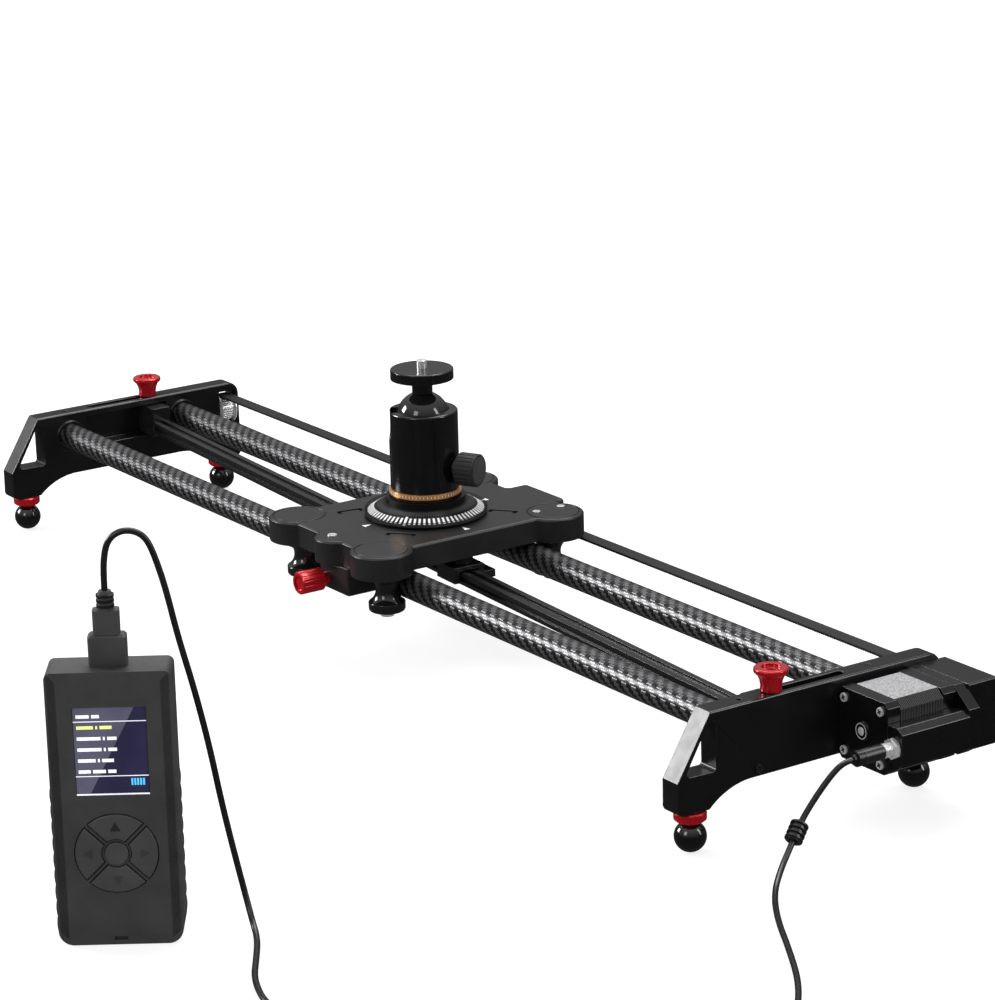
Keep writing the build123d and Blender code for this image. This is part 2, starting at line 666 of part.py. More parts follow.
screen_w, screen_h, screen_z = 38.0, 48.0, 107.0
screen_cut = block(-screen_w / 2, screen_w / 2, -half_deep - 1, -8, screen_z - screen_h / 2,
                   screen_z + screen_h / 2)
ring_r = 22.0
front_shell -= screen_cut
front_shell -= rod_y(0, key_centre_z, -half_deep - 1, -8, ring_r)
plug_slot = block(-6.5, 6.5, -2.6, 2.6, handset_tall - 14, handset_tall + 1)
front_shell -= plug_slot
back_shell -= plug_slot
lanyard = block(-3.5, 3.5, -half_deep - 1, -half_deep + 1.4, 2.6, 4.6)
front_shell -= lanyard
save("handset_front_shell", at_handset(front_shell))
save("handset_back_shell", at_handset(back_shell))

screen = block(-screen_w / 2 + 0.2, screen_w / 2 - 0.2, -half_deep + 0.6, -half_deep + 4.6,
               screen_z - screen_h / 2 + 0.2, screen_z + screen_h / 2 - 0.2)
save("handset_screen", at_handset(screen))
handset_board = block(-27.0, 27.0, -5.6, -4.0, 12.0, 133.0)
save("circuit_boards", box_board, at_handset(handset_board))

key_outer, key_inner, centre_r, key_split = 21.5, 7.8, 6.2, 1.6
key_face, key_back = -half_deep - 0.9, -8.6


def ring_key(way):
    """One quarter of the four-way ring, centred on a direction in degrees."""
    ring = rod_y(0, 0, key_face, key_back, key_outer) - rod_y(0, 0, key_face, key_back, key_inner)
    wedge = make_face(Polyline((1.15 * key_split, 0), (40, 40 - 1.15 * key_split),
                               (40, -40 + 1.15 * key_split), close=True))
    wedge = extrude(Plane.XZ * wedge, 40, both=True)
    key = ring & wedge
    key = chamfer(key.faces().sort_by(Axis.Y)[0].edges(), 0.5)
    return Pos(0, 0, key_centre_z) * Rot(0, -way, 0) * key


for name, way in (("right", 0), ("up", 90), ("left", 180), ("down", 270)):
    save(f"key_{name}", at_handset(ring_key(way)))
centre_key = rod_y(0, key_centre_z, key_face - 0.3, key_back, centre_r)
centre_key = fillet(centre_key.edges().group_by(Axis.Y)[0], 0.6)
save("key_centre", at_handset(centre_key))

plug_top = handset_tall + 30.0
relief_top = plug_top + 10.0
plug_shoulder = handset_tall + 17.0
plug = block(-10.0, 10.0, -4.8, 4.8, handset_tall, plug_shoulder)
plug = rounded(plug, 2.0)
plug = chamfer(plug.edges().group_by(Axis.Z)[-1], 1.2)
upper = block(-6.9, 6.9, -4.2, 4.2, plug_shoulder, plug_top)
plug += rounded(upper, 2.0)
plug += block(-6.0, 6.0, -2.2, 2.2, handset_tall - 12, handset_tall)
cone = turned([(0, plug_top), (4.2, plug_top), (4.0, relief_top - 3), (3.2, relief_top), (0, relief_top)])
save("handset_plug", at_handset(plug + cone))


# Control cord, from the control box's socket over the floor and into the top of the handset

floor_z = cord_d / 2 + 0.1
route = [
    (socket_x, -11, socket_z), (socket_x, -17, socket_z), (443.8, -24.5, 48), (442, -34, 37),
    (443.8, -46, 26), (449.5, -57, 17.5), (457, -71, 8), (469, -85, floor_z),
    (497, -105, floor_z), (530, -124, floor_z),
    (567, -147, floor_z), (597, -173, floor_z), (603, -207, floor_z), (585, -240, floor_z),
    (554, -267, floor_z), (527, -301, floor_z), (500, -337, floor_z), (468, -366, floor_z),
    (431, -375, floor_z), (397, -364, floor_z), (370, -346, floor_z), (351, -334, floor_z),
    (338, -329, 5.5), (330, -328, 18), (326, -331, 40), (324.5, -336.5, 70), (324.5, -342, 102),
    (323, -348.5, 135), (320.2, -355.2, 165), (317.5, -359.2, 190.5), (314.7, -363.3, 208.6),
    (312.7, -366.3, 217.1), (309.9, -370.4, 220.9), (306.5, -375.5, 221.7), (303.3, -380.2, 219.4),
    (301.2, -383.2, 214.5), (300.3, -384.6, 206.5), (300, -385, 198), (300, -385, 190),
]


def turn_at(i):
    """Angle in degrees by which the route turns at its point i."""
    before = Vector(*route[i]) - Vector(*route[i - 1])
    after = Vector(*route[i + 1]) - Vector(*route[i])
    return before.get_angle(after), min(before.length, after.length)


bends = []
for i in range(1, len(route) - 1):
    turn, short_run = turn_at(i)
    bends.append(0.45 * short_run / math.tan(math.radians(turn / 2)))
path = FilletPolyline(*route, radius=bends)
start = Plane(origin=path @ 0, z_dir=path % 0)
cord = sweep(start * Circle(cord_d / 2), path=path)
save("control_cord", cord)
expected = math.pi * (cord_d / 2) ** 2 * path.length
print("cord radii", [round(bend, 1) for bend in bends])
print("cord length", round(path.length, 1), "volume ratio", round(cord.volume / expected, 4))

motor_plug = rod_y(socket_x, socket_z, -9.0, 9.2, 4.4) + rod_y(socket_x, socket_z, 9.2, 17.0, 2.9)
motor_plug += rod_y(socket_x, socket_z, -11.0, -9.0, 2.8)
save("motor_plug", motor_plug)

grommet_from, grommet_to = Vector(*route[4]), Vector(*route[5])
along = (grommet_to - grommet_from).normalized()
grommet_long = 12.0
grommet_r = 4.0
grommet_start = (grommet_from + grommet_to) * 0.5 - along * grommet_long / 2
grommet_plane = Plane(origin=grommet_start, z_dir=along)
grommet = extrude(grommet_plane * (Circle(grommet_r) - Circle(cord_d / 2 + 2 * free_gap)), grommet_long)
save("cord_grommet", grommet)

save("frame_screws", *frame_screws)
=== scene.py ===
import json
import math

import bmesh
import bpy
from mathutils import Matrix, Vector


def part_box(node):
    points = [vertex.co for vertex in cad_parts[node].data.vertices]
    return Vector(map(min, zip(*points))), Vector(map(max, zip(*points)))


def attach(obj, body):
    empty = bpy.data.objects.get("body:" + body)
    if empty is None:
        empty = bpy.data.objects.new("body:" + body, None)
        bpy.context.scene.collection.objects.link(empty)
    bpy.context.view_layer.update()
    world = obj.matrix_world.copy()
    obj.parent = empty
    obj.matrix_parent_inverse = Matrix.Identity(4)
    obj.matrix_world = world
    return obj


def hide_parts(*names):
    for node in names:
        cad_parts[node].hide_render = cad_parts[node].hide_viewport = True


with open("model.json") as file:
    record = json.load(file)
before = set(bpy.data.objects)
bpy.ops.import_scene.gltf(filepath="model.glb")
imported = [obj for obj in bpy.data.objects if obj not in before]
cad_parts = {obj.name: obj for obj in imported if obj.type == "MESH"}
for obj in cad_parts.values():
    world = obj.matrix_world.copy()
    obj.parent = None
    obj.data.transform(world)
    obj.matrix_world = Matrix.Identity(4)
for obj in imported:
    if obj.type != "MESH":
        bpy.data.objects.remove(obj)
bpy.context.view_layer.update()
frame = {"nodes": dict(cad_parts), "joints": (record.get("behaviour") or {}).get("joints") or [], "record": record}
joints = {joint["name"]: joint for joint in frame["joints"]}
bodyOf = {node: body for body, nodes in frame["record"]["behaviour"]["bodies"].items() for node in nodes}
slotOf = {part["node"]: part["material_slot"] for part in frame["record"]["subparts"]}
mm = 0.001
fullTurn = 2 * math.pi
usualCorner = 32          # in degrees: edges that turn by more than this are kept crisp
print("frame loaded,", len(frame["nodes"]), "nodes")


def makeCamera():
    view = {"turn": 55.86, "rise": 16.55, "roll": -1.44, "lens": 133.0,
            "aside": 0.0489, "above": 0.092, "away": 2.3827}
    turn, rise, roll = (math.radians(view[key]) for key in ("turn", "rise", "roll"))
    back = Vector((math.sin(turn) * math.cos(rise), -math.cos(turn) * math.cos(rise), math.sin(rise)))
    level = Vector((math.cos(turn), math.sin(turn), 0))
    upright = back.cross(level)
    right = math.cos(roll) * level + math.sin(roll) * upright
    up = math.cos(roll) * upright - math.sin(roll) * level
    camera = bpy.data.objects.new("camera", bpy.data.cameras.new("camera"))
    camera.data.lens = view["lens"]
    camera.data.clip_end = 60
    place = Matrix((right, up, back)).transposed().to_4x4()
    place.translation = right * view["aside"] + up * view["above"] + back * view["away"]
    camera.matrix_world = place
    bpy.context.scene.collection.objects.link(camera)
    bpy.context.scene.camera = camera


makeCamera()


# Shader nodes: a value that is a socket is linked, any other is set on the node's own socket
def addNode(tree, kind, inputs=None, **settings):
    made = tree.nodes.new(kind)
    for key, value in settings.items():
        setattr(made, key, value)
    for socket, value in (inputs or {}).items():
        if isinstance(value, bpy.types.NodeSocket):
            tree.links.new(value, made.inputs[socket])
        else:
            made.inputs[socket].default_value = value
    return made


def maths(tree, operation, first, second=0.0):
    return addNode(tree, "ShaderNodeMath", {0: first, 1: second}, operation=operation).outputs[0]


def twoTone(tree, factor, first, second, start=0.35, end=0.65):
    ramp = addNode(tree, "ShaderNodeValToRGB", {"Fac": factor})
    ramp.color_ramp.elements[0].position = start
    ramp.color_ramp.elements[0].color = (*first, 1)
    ramp.color_ramp.elements[1].position = end
    ramp.color_ramp.elements[1].color = (*second, 1)
    return ramp.outputs["Color"]


shaderSockets = {"metal": "Metallic", "coat": "Coat Weight", "coatRough": "Coat Roughness",
                 "shine": "Specular IOR Level", "rough": "Roughness"}


def startFinish(name, look):
    material = bpy.data.materials.new(name)
    material.use_nodes = True
    tree = material.node_tree
    shader = tree.nodes["Principled BSDF"]
    shader.inputs["Base Color"].default_value = (*look["colour"], 1)
    for key, socket in shaderSockets.items():
        if key in look:
            shader.inputs[socket].default_value = look[key]
    return material, tree, shader


def noise(tree, place, size, detail=2.0):
    made = addNode(tree, "ShaderNodeTexNoise", {"Vector": place, "Scale": 1 / size, "Detail": detail})
    return made.outputs["Fac"]


def bump(tree, shader, height, depth):
    made = addNode(tree, "ShaderNodeBump", {"Height": height, "Distance": depth, "Strength": 1.0})
    tree.links.new(made.outputs["Normal"], shader.inputs["Normal"])


# A worked surface: slow patches vary its colour and gloss, and a fine grain roughens it
usualLook = {"patch": 22 * mm, "lighter": 1.3, "glossPatch": 6 * mm, "glossSpread": 0.08,
             "grain": 0.35 * mm, "depth": 0.0008 * mm}


def plainFinish(name, ownLook):
    look = {**usualLook, **ownLook}
    material, tree, shader = startFinish(name, look)
    place = addNode(tree, "ShaderNodeTexCoord").outputs["Object"]
    patches = noise(tree, place, look["patch"], 4.0)
    second = look.get("second", tuple(look["lighter"] * part for part in look["colour"]))
    tree.links.new(twoTone(tree, patches, look["colour"], second), shader.inputs["Base Color"])
    spread = look["glossSpread"] * look["rough"]
    gloss = addNode(tree, "ShaderNodeMapRange", {
        "Value": noise(tree, place, look["glossPatch"], 3.0), "From Min": 0.3, "From Max": 0.7,
        "To Min": look["rough"] - spread, "To Max": look["rough"] + spread})
    tree.links.new(gloss.outputs["Result"], shader.inputs["Roughness"])
    bump(tree, shader, noise(tree, place, look["grain"]), look["depth"])
    if "glow" in look:
        shader.inputs["Emission Color"].default_value = (*look["colour"], 1)
        shader.inputs["Emission Strength"].default_value = look["glow"]
    return material


plainLooks = {
    "black_anodised": {"colour": (0.004, 0.004, 0.0042), "rough": 0.30, "shine": 0.34},
    "carriage_black": {"colour": (0.010, 0.010, 0.0103), "rough": 0.36, "shine": 0.5},
    "machined_edge": {"colour": (0.05, 0.05, 0.052), "rough": 0.22, "metal": 0.9},
    "red_anodised": {"colour": (0.50, 0.004, 0.010), "second": (0.60, 0.008, 0.016), "rough": 0.22,
                     "metal": 0.55, "coat": 0.6, "coatRough": 0.08},
    "bright_steel": {"colour": (0.66, 0.66, 0.67), "second": (0.78, 0.78, 0.79), "rough": 0.25,
                     "metal": 0.55},
    "dark_steel": {"colour": (0.006, 0.006, 0.0065), "rough": 0.14, "coat": 0.6, "coatRough": 0.05},
    "bar_black": {"colour": (0.008, 0.008, 0.0085), "rough": 0.24, "depth": 0.0002 * mm},
    "belt_rubber": {"colour": (0.007, 0.007, 0.0072), "rough": 0.60, "shine": 0.3, "grain": 0.25 * mm,
                    "depth": 0.02 * mm},
    "cord_rubber": {"colour": (0.008, 0.008, 0.008), "rough": 0.28, "grain": 0.5 * mm, "depth": 0.01 * mm},
    "motor_steel": {"colour": (0.20, 0.20, 0.205), "second": (0.50, 0.50, 0.51), "patch": 0.9 * mm,
                    "rough": 0.50, "metal": 0.55, "grain": 0.4 * mm, "depth": 0.04 * mm},
    "housing_black": {"colour": (0.003, 0.003, 0.0034), "rough": 0.22, "shine": 0.3, "coat": 0.2,
                      "coatRough": 0.12},
    "foot_black": {"colour": (0.003, 0.003, 0.0034), "rough": 0.12, "coat": 0.7, "coatRough": 0.06},
    "head_black": {"colour": (0.003, 0.003, 0.0034), "rough": 0.20, "coat": 0.4, "coatRough": 0.08,
                   "depth": 0.001 * mm},
    "head_ring": {"colour": (0.78, 0.34, 0.09), "second": (0.88, 0.44, 0.14), "rough": 0.22, "metal": 0.5},
    "ball_metal": {"colour": (0.012, 0.012, 0.013), "rough": 0.12, "metal": 0.3, "coat": 0.8,
                   "coatRough": 0.05},
    "knob_rubber": {"colour": (0.012, 0.012, 0.0125), "rough": 0.50, "grain": 0.8 * mm, "depth": 0.16 * mm},
    "brass_seat": {"colour": (0.60, 0.42, 0.16), "rough": 0.35, "metal": 1.0},
    "handset_rubber": {"colour": (0.034, 0.034, 0.0345), "rough": 0.55, "grain": 0.4 * mm,
                       "depth": 0.015 * mm},
    "key_plastic": {"colour": (0.044, 0.044, 0.0445), "rough": 0.45, "grain": 0.4 * mm,
                    "depth": 0.01 * mm},
    "screen_glass": {"colour": (0.026, 0.024, 0.062), "rough": 0.12, "shine": 0.3},
    "board_green": {"colour": (0.003, 0.016, 0.008), "rough": 0.55},
    "dial_black": {"colour": (0.004, 0.004, 0.0045), "rough": 0.42, "shine": 0.2},
    "mark_white": {"colour": (0.85, 0.85, 0.85), "rough": 0.45, "second": (0.92, 0.92, 0.92)},
    # dark marks, and painted shade for the screws' cross recesses
    "dark_marks_and_painted_shade": {"colour": (0.012, 0.012, 0.012), "rough": 0.5},
    "key_mark": {"colour": (0.030, 0.030, 0.030), "rough": 0.5},
    "knob_cap": {"colour": (0.040, 0.040, 0.041), "rough": 0.30, "shine": 0.5},
    "plug_grey": {"colour": (0.042, 0.042, 0.0425), "rough": 0.5, "grain": 0.5 * mm, "depth": 0.03 * mm},
    "ridge_grey": {"colour": (0.045, 0.045, 0.046), "rough": 0.35},
    # painted reflection: the colour of the lighter glare patch over the left of the screen
    "screen_painted_glare": {"colour": (0.10, 0.098, 0.15), "rough": 0.14, "shine": 0.3},
    "screen_white": {"colour": (0.80, 0.82, 0.90), "rough": 0.4, "glow": 0.35},
    "screen_yellow": {"colour": (0.72, 0.80, 0.22), "rough": 0.4, "glow": 0.3},
    "screen_blue": {"colour": (0.06, 0.45, 0.85), "rough": 0.4, "glow": 0.5},
}
finishes = {name: plainFinish(name, look) for name, look in plainLooks.items()}


# Twill on the unrolled tube: U runs along it and V round it, both in metres
def carbonFinish():
    # light: the colour that the over tows' painted sheen reaches
    look = {"colour": (0.004, 0.004, 0.0045), "light": (0.11, 0.11, 0.115), "tow": 2.304 * mm,
            "metal": 0.7, "rough": 0.38, "coat": 0.35, "coatRough": 0.24, "depth": 0.20 * mm,
            "arch": 3.2, "overSheen": 0.7, "underSheen": 0.15, "strand": 0.35}
    material, tree, shader = startFinish("carbonTwill", look)
    wrap = addNode(tree, "ShaderNodeUVMap", uv_map="wrap").outputs[0]
    onTube = addNode(tree, "ShaderNodeSeparateXYZ", {0: wrap})
    warp = maths(tree, "DIVIDE", onTube.outputs["X"], look["tow"])
    weft = maths(tree, "DIVIDE", onTube.outputs["Y"], look["tow"])
    cell = maths(tree, "SUBTRACT", maths(tree, "FLOOR", warp), maths(tree, "FLOOR", weft))
    over = maths(tree, "LESS_THAN", maths(tree, "FLOORED_MODULO", cell, 4.0), 2.0)

    def crown(across):
        fromMiddle = maths(tree, "SUBTRACT", maths(tree, "FRACT", across), 0.5)
        square = maths(tree, "MULTIPLY", fromMiddle, fromMiddle)
        return maths(tree, "SUBTRACT", 1.0, maths(tree, "MULTIPLY", square, look["arch"]))

    upper = addNode(tree, "ShaderNodeMix", {0: over, 2: crown(warp), 3: crown(weft)}, data_type="FLOAT")
    onCloth = addNode(tree, "ShaderNodeCombineXYZ", {0: warp, 1: weft}).outputs[0]
    strands = noise(tree, onCloth, look["strand"], 3.0)
    # The over tows are painted lighter than the under tows: the twill itself is real, the brightness gap between
    # them is painted sheen in place of the fibres' directional gloss
    level = maths(tree, "ADD", maths(tree, "MULTIPLY", over, look["overSheen"]), look["underSheen"])
    towSheen = maths(tree, "MULTIPLY", level, maths(tree, "ADD", strands, 0.5))
    cloth = twoTone(tree, towSheen, look["colour"], look["light"], 0.1, 0.9)
    tree.links.new(cloth, shader.inputs["Base Color"])
    bump(tree, shader, upper.outputs[0], look["depth"])
    return material


finishes["carbon"] = carbonFinish()
print("finishes made:", len(finishes))


# Meshes
def newPiece(name, mesh):
    piece = bpy.data.objects.new(name, mesh)
    bpy.context.scene.collection.objects.link(piece)
    return piece


# A merged copy of a node's mesh, with its flat faces joined up
def cleanCopy(name, node, corner):
    copy = {"weld": 0.002 * mm, "flatWithin": math.radians(0.4)}
    build = bmesh.new()
    build.from_mesh(frame["nodes"][node].data)
    bmesh.ops.remove_doubles(build, verts=build.verts, dist=copy["weld"])
    bmesh.ops.dissolve_limit(build, angle_limit=copy["flatWithin"], verts=build.verts, edges=build.edges)
    for face in build.faces:
        face.material_index = 0
        face.smooth = True
    mesh = bpy.data.meshes.new(name)
    build.to_mesh(mesh)
    build.free()
    if "custom_normal" in mesh.attributes:
        mesh.attributes.remove(mesh.attributes["custom_normal"])
    mesh.set_sharp_from_angle(angle=math.radians(corner))
    return newPiece(name, mesh)


def softenEdges(piece, width, corner, edgeFinish=None):
    bevel = piece.modifiers.new("edges", "BEVEL")
    bevel.width = width
    bevel.segments = 2
    bevel.limit_method = "ANGLE"
    bevel.angle_limit = math.radians(corner)
    bevel.use_clamp_overlap = False
    bevel.harden_normals = True
    if edgeFinish:
        piece.data.materials.append(edgeFinish)
        bevel.material = 1


# Another finish on the faces that the given rule picks
def paintFaces(piece, finish, picked):
    piece.data.materials.append(finishes[finish])
    for face in piece.data.polygons:
        if picked(face):
            face.material_index = len(piece.data.materials) - 1


def placePiece(piece, node):
    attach(piece, bodyOf[node])
    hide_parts(node)
    kept.discard(node)


kept = set(frame["nodes"])          # nodes that no piece has replaced yet


# Machined and moulded parts that keep the shape of the frame, with softened edges
def finishParts():
    edgeWidth = {
        "far_end_plate": 0.5, "near_end_plate": 0.5, "frame_screws": 0.15, "guide_bar": 0.25,
        "motor_end_caps": 0.3, "motor_core": 0.15, "motor_flange": 0.35, "pulley_housing": 0.5,
        "control_box": 0.5, "carriage_plate": 0.35, "carriage_bolts": 0.2, "belt_clamp": 0.3,
        "lock_block": 0.3,
        "follower_arm": 0.3, "follower_fork": 0.3, "head_housing": 0.3, "camera_platform": 0.2,
        "far_bar_knob": 0.25, "near_bar_knob": 0.25, "roller_front_far": 0.3, "roller_front_near": 0.3,
        "roller_rear_far": 0.3, "roller_rear_near": 0.3, "lock_ring_front_far": 0.15,
        "lock_ring_front_near": 0.15, "lock_ring_rear_far": 0.15, "lock_ring_rear_near": 0.15,
        "key_up": 0.2, "key_down": 0.2, "key_left": 0.2, "key_right": 0.2, "key_centre": 0.2,
    }
    brightEdge = ("far_end_plate", "near_end_plate", "motor_end_caps", "motor_flange", "control_box",
                  "pulley_housing")
    corners = {"far_end_plate": 24, "near_end_plate": 24}
    for node, width in edgeWidth.items():
        corner = corners.get(node, usualCorner)
        piece = cleanCopy(node + "_part", node, corner)
        piece.data.materials.append(finishes[slotOf[node]])
        softenEdges(piece, width * mm, corner, finishes["machined_edge"] if node in brightEdge else None)
        if node == "frame_screws":
            paintFaces(piece, "dark_steel", lambda face: face.center.y < -30 * mm)
        if node == "motor_core":
            # Only the up-facing top keeps the speckled steel; the sides and the underside get the black finish as
            # painted shade
            paintFaces(piece, "housing_black", lambda face: face.normal.z <= 0.9)
        placePiece(piece, node)


finishParts()
print("parts finished")


# Carbon tubes: turned solids closed through the bore, unrolled for the twill
def makeTubes():
    tube = {"around": 96, "chamfer": 0.4 * mm, "wall": 1.2 * mm, "corner": math.radians(40)}
    for node in ("front_tube", "rear_tube"):
        low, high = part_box(node)
        middle = (low + high) / 2
        radius = (high.z - low.z) / 2
        mesh = bpy.data.meshes.new(node)
        build = bmesh.new()
        wrap = build.loops.layers.uv.new("wrap")
        rings = [(low.x, radius - tube["wall"]), (low.x, radius - tube["chamfer"]),
                 (low.x + tube["chamfer"], radius), (high.x - tube["chamfer"], radius),
                 (high.x, radius - tube["chamfer"]), (high.x, radius - tube["wall"])]
        rows = []
        for x, r in rings:
            row = []
            for step in range(tube["around"]):
                angle = fullTurn * step / tube["around"]
                place = (x, middle.y + r * math.cos(angle), middle.z + r * math.sin(angle))
                row.append(build.verts.new(place))
            rows.append(row)
        rows.append(rows[0])
        for first, second in zip(rows, rows[1:]):
            for step in range(tube["around"]):
                after = (step + 1) % tube["around"]
                face = build.faces.new((first[step], second[step], second[after], first[after]))
                face.smooth = True
                turns = (step, step, step + 1, step + 1)
                for loop, turn in zip(face.loops, turns):
                    loop[wrap].uv = (loop.vert.co.x, radius * fullTurn * turn / tube["around"])
        bmesh.ops.recalc_face_normals(build, faces=build.faces)
        build.to_mesh(mesh)
        build.free()
        mesh.set_sharp_from_angle(angle=tube["corner"])
        mesh.materials.append(finishes["carbon"])
        placePiece(newPiece(node + "_part", mesh), node)


makeTubes()


# The control cord: the route of the frame's own cord, in metres
cordRoute = [
    (0.4449, -0.011, 0.0535), (0.4449, -0.017, 0.0535), (0.4438, -0.0245, 0.048), (0.442, -0.034, 0.037),
    (0.4438, -0.046, 0.026), (0.4495, -0.057, 0.0175), (0.457, -0.071, 0.008), (0.469, -0.085, 0.0018),
    (0.497, -0.105, 0.0018), (0.530, -0.124, 0.0018), (0.567, -0.147, 0.0018), (0.597, -0.173, 0.0018),
    (0.603, -0.207, 0.0018), (0.585, -0.240, 0.0018), (0.554, -0.267, 0.0018), (0.527, -0.301, 0.0018),
    (0.500, -0.337, 0.0018), (0.468, -0.366, 0.0018), (0.431, -0.375, 0.0018), (0.397, -0.364, 0.0018),
    (0.370, -0.346, 0.0018), (0.351, -0.334, 0.0018), (0.338, -0.329, 0.0055), (0.330, -0.328, 0.018),
    (0.326, -0.331, 0.040), (0.3245, -0.3365, 0.070), (0.3245, -0.342, 0.102), (0.323, -0.3485, 0.135),
    (0.3202, -0.3552, 0.165), (0.3175, -0.3592, 0.1905), (0.3147, -0.3633, 0.2086),
    (0.3127, -0.3663, 0.2171), (0.3099, -0.3704, 0.2209), (0.3065, -0.3755, 0.2217),
    (0.3033, -0.3802, 0.2194), (0.3012, -0.3832, 0.2145), (0.3003, -0.3846, 0.2065),
    (0.300, -0.385, 0.198), (0.300, -0.385, 0.190),
]
grommetRun = 4          # the run of the route that the grommet sits on


def makeCord():
    cord = {"diameter": 3.4 * mm, "length": 0.904}
    curve = bpy.data.curves.new("controlCord", "CURVE")
    curve.dimensions = "3D"
    curve.bevel_depth = cord["diameter"] / 2
    curve.bevel_resolution = 6
    curve.resolution_u = 10
    curve.use_fill_caps = True
    spline = curve.splines.new("NURBS")
    spline.points.add(len(cordRoute) - 1)
    for point, place in zip(spline.points, cordRoute):
        point.co = (*place, 1)
    spline.order_u = 3
    spline.use_endpoint_u = True
    curve.materials.append(finishes["cord_rubber"])
    piece = newPiece("control_cord_part", curve)
    placePiece(piece, "control_cord")


makeCord()
print("cord laid")

# Nodes that keep their own mesh
ownFinish = {"handset_plug": "plug_grey"}
for node in sorted(kept):
    carried = frame["nodes"][node].data
    carried.materials.clear()
    carried.materials.append(finishes[ownFinish.get(node, slotOf[node])])


# Copies of one small block: turned round an axis by start and sweep, or moved on by step
def buildRepeatTree():
    tree = bpy.data.node_groups.new("repeatBlocks", "GeometryNodeTree")
    kinds = {"count": "Int", "radius": "Float", "sweep": "Float", "start": "Float", "step": "Vector",
             "size": "Vector", "lean": "Vector", "finish": "Material"}
    for name, kind in kinds.items():
        tree.interface.new_socket(name, in_out="INPUT", socket_type="NodeSocket" + kind)
    tree.interface.new_socket("shape", in_out="OUTPUT", socket_type="NodeSocketGeometry")
    given = addNode(tree, "NodeGroupInput").outputs
    index = addNode(tree, "GeometryNodeInputIndex").outputs[0]
    part = maths(tree, "DIVIDE", maths(tree, "MULTIPLY", index, given["sweep"]), given["count"])
    angle = maths(tree, "ADD", part, given["start"])
    across = maths(tree, "MULTIPLY", maths(tree, "COSINE", angle), given["radius"])
    beyond = maths(tree, "MULTIPLY", maths(tree, "SINE", angle), given["radius"])
    ring = addNode(tree, "ShaderNodeCombineXYZ", {0: across, 1: beyond})
    line = addNode(tree, "ShaderNodeVectorMath", {0: given["step"], 3: index}, operation="SCALE")
    place = addNode(tree, "ShaderNodeVectorMath", {0: ring.outputs[0], 1: line.outputs[0]}, operation="ADD")
    points = addNode(tree, "GeometryNodePoints", {"Count": given["count"], "Position": place.outputs[0]})
    aboutZ = addNode(tree, "ShaderNodeCombineXYZ", {2: angle}).outputs[0]
    facing = addNode(tree, "FunctionNodeEulerToRotation", {0: aboutZ})
    leaning = addNode(tree, "FunctionNodeEulerToRotation", {0: given["lean"]})
    turned = addNode(tree, "FunctionNodeRotateRotation", {0: facing.outputs[0], 1: leaning.outputs[0]},
                     rotation_space="LOCAL")
    block = addNode(tree, "GeometryNodeMeshCube", {"Size": given["size"]})
    copies = addNode(tree, "GeometryNodeInstanceOnPoints", {"Points": points.outputs[0],
                     "Instance": block.outputs[0], "Rotation": turned.outputs[0]})
    real = addNode(tree, "GeometryNodeRealizeInstances", {0: copies.outputs[0]})
    painted = addNode(tree, "GeometryNodeSetMaterial", {"Geometry": real.outputs[0],
                      "Material": given["finish"]})
    addNode(tree, "NodeGroupOutput", {0: painted.outputs[0]})
    return tree


repeatTree = buildRepeatTree()


# One run of blocks as a mesh: place turns and moves the whole run
def blockRun(finish, place, **values):
    holder = newPiece("blockRun", bpy.data.meshes.new("blockRun"))
    run = holder.modifiers.new("repeat", "NODES")
    run.node_group = repeatTree
    values["finish"] = finishes[finish]
    for item in repeatTree.interface.items_tree:
        if item.in_out == "INPUT" and item.name in values:
            run[item.identifier] = values[item.name]
    holder.update_tag()
    seen = holder.evaluated_get(bpy.context.evaluated_depsgraph_get())
    mesh = bpy.data.meshes.new_from_object(seen)
    bpy.data.objects.remove(holder)
    mesh.materials.clear()
    mesh.materials.append(finishes[finish])
    mesh.transform(place)
    return mesh


# A turned shape about Z from (radius, height) pairs, outside first from bottom to top
def lathe(finish, place, profile, around=48, closed=False):
    build = bmesh.new()
    rows = []
    for radius, height in profile:
        if radius == 0:
            row = [build.verts.new((0, 0, height))] * around
        else:
            ways = [fullTurn * step / around for step in range(around)]
            row = [build.verts.new((radius * math.cos(way), radius * math.sin(way), height)) for way in ways]
        rows.append(row)
    if closed:
        rows.append(rows[0])
    for first, second in zip(rows, rows[1:]):
        for step in range(around):
            after = (step + 1) % around
            corners = []
            for corner in (first[step], first[after], second[after], second[step]):
                if corner not in corners:
                    corners.append(corner)
            build.faces.new(corners)
    bmesh.ops.recalc_face_normals(build, faces=build.faces)
    mesh = bpy.data.meshes.new("turned")
    build.to_mesh(mesh)
    build.free()
    mesh.materials.append(finishes[finish])
    mesh.transform(place)
    return mesh


# A flat plate from (x, y) corners, of a small thickness along Z
def flatShape(finish, place, corners, thick):
    build = bmesh.new()
    low = [build.verts.new((x, y, 0)) for x, y in corners]
    high = [build.verts.new((x, y, thick)) for x, y in corners]
    build.faces.new(low)
    build.faces.new(high)
    for step in range(len(corners)):
        after = (step + 1) % len(corners)
        build.faces.new((low[step], low[after], high[after], high[step]))
    bmesh.ops.recalc_face_normals(build, faces=build.faces)
    mesh = bpy.data.meshes.new("flat")
    build.to_mesh(mesh)
    build.free()
    mesh.materials.append(finishes[finish])
    mesh.transform(place)
    return mesh


def rectangle(x0, x1, y0, y1):
    return [(x0, y0), (x1, y0), (x1, y1), (x0, y1)]


